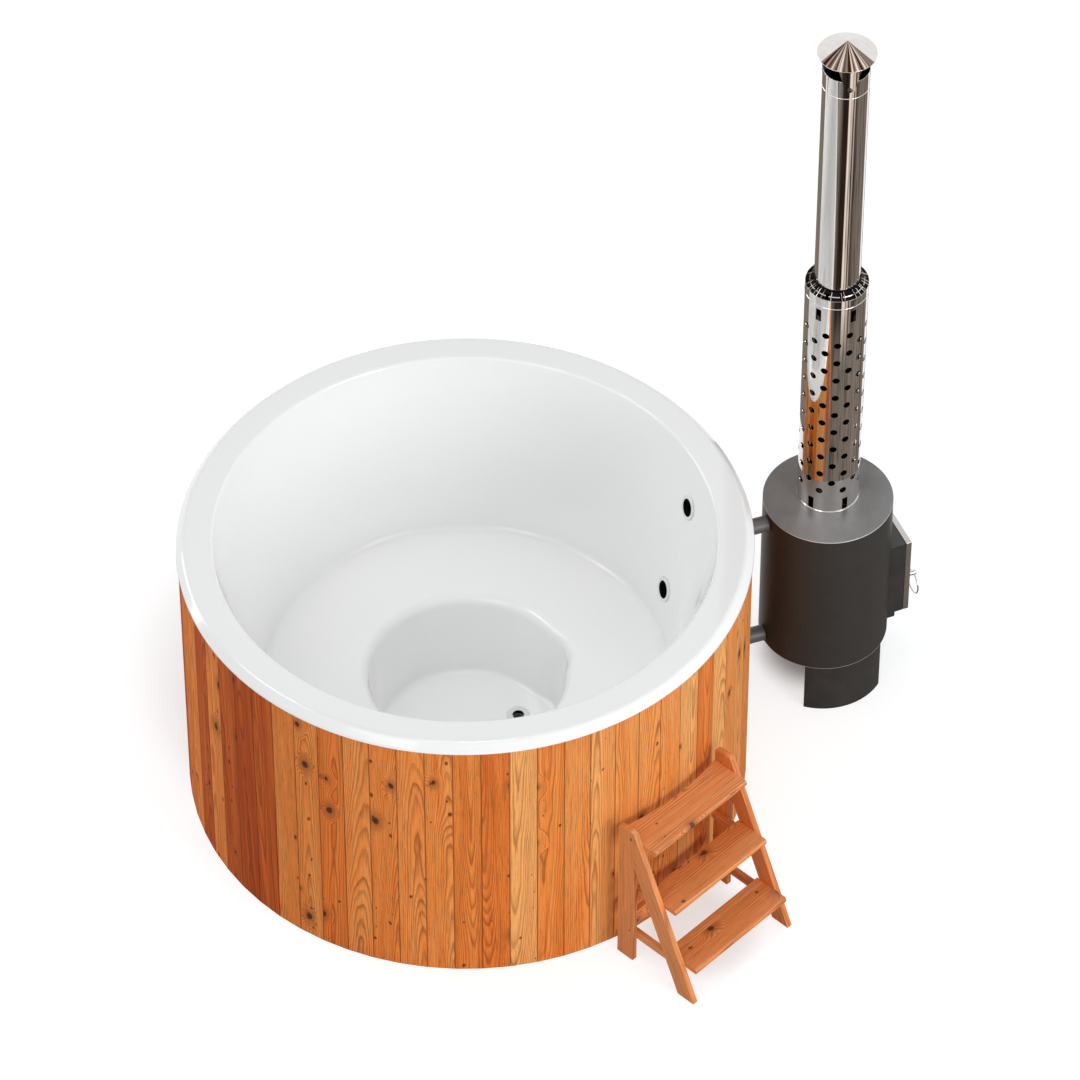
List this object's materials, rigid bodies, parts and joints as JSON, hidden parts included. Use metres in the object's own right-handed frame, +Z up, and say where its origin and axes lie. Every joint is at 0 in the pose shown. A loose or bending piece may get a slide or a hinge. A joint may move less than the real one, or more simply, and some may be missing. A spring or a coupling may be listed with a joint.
{
  "type": "wood-fired hot tub",
  "caption": "Round outdoor soaking tub with a moulded liner, vertical board cladding, an outside wood-fired stove with a guarded chimney, and loose wooden steps.",
  "frame": {"origin": "on the floor under the tub's own axis, at the underside of the middle floor bearer", "axes": "+Z up along the tub's axis; +X and +Y are level, with the stove about 20 degrees from +X towards +Y and the steps about 44 degrees from +X towards -Y"},
  "size_m": [2.45, 2.1152, 2.782],
  "materials": {
    "acrylic": "gloss",
    "spruce": "satin",
    "frame_timber": "raw",
    "plywood": "raw",
    "stainless": "polished",
    "stove_black": "satin",
    "stove_lid_grey": "satin",
    "cast_grate": "matte",
    "rubber_black": "matte",
    "zinc": "satin",
    "white_plastic": "gloss",
    "brass": "satin",
    "red_paint": "gloss",
    "insulation": "matte"
  },
  "bodies": {
    "tub": {"liner": "acrylic", "cladding_boards_1": "spruce", "cladding_boards_2": "spruce", "cladding_boards_3": "spruce", "cladding_boards_4": "spruce", "cladding_boards_5": "spruce", "floor_bearers": "frame_timber", "base_deck": "plywood", "footwell_pad": "frame_timber", "lower_studs": "frame_timber", "bench_ring": "plywood", "upper_studs": "frame_timber", "rim_ring": "plywood", "wall_fittings": "white_plastic", "fitting_washers": "rubber_black", "fitting_nuts": "white_plastic", "upper_hose": "rubber_black", "lower_hose": "rubber_black", "hose_clamps": "zinc", "drain_fitting": "zinc", "drain_washer": "rubber_black", "drain_nut": "zinc", "drain_pipe": "zinc", "valve_body": "brass", "stove_jacket": "stove_black", "stove_lid": "stove_lid_grey", "stove_floor": "stove_black", "firebox": "stove_black", "fire_grate": "cast_grate", "stove_legs": "stove_black", "water_stubs": "stove_black", "door_collar": "stove_black", "collar_hinges": "stove_black", "hinge_pins": "zinc", "ash_box": "stove_black", "flue_pipe": "stainless", "flue_top": "stainless", "heat_guard": "stainless", "guard_spacer": "stove_black", "guard_base_ring": "stainless", "rain_cap": "stainless", "cap_straps": "stainless", "cap_bolts": "zinc"},
    "fire_door": {"fire_door": "stainless", "door_seal": "insulation", "handle_boss": "stainless"},
    "ring_handle": {"ring_handle": "stainless"},
    "ash_drawer": {"ash_drawer": "stove_black"},
    "drain_valve": {"valve_ball": "stainless", "valve_lever": "red_paint"},
    "steps": {"step_posts": "spruce", "step_stringers": "spruce", "tread_top": "spruce", "tread_middle": "spruce", "tread_bottom": "spruce", "tread_back_strip": "spruce", "tread_cleats": "spruce", "back_rail": "spruce", "cleat_screws": "zinc"}
  },
  "joints": [
    {"name": "fire_door_hinge", "type": "hinge", "parent": "tub", "child": "fire_door", "pos_m": [1.39321, 0.63987, 0.2544], "axis": [0, 0, 1], "range_deg": [0, 120]},
    {"name": "ring_handle_swing", "type": "hinge", "parent": "fire_door", "child": "ring_handle", "pos_m": [1.49438, 0.46968, 0.4064], "axis": [0.3843, -0.9232, 0], "range_deg": [0, 90]},
    {"name": "ash_drawer_slide", "type": "slide", "parent": "tub", "child": "ash_drawer", "axis": [0.9232, 0.3843, 0], "range_m": [0, 0.22]},
    {"name": "drain_valve_turn", "type": "hinge", "parent": "tub", "child": "drain_valve", "pos_m": [0.16929, 0.975, 0.034], "axis": [0, 0, 1], "range_deg": [0, 90]},
    {"name": "steps_carry", "type": "slide", "parent": "tub", "child": "steps", "axis": [0.7218, -0.6921, 0], "range_m": [0, 0.6]}
  ]
}
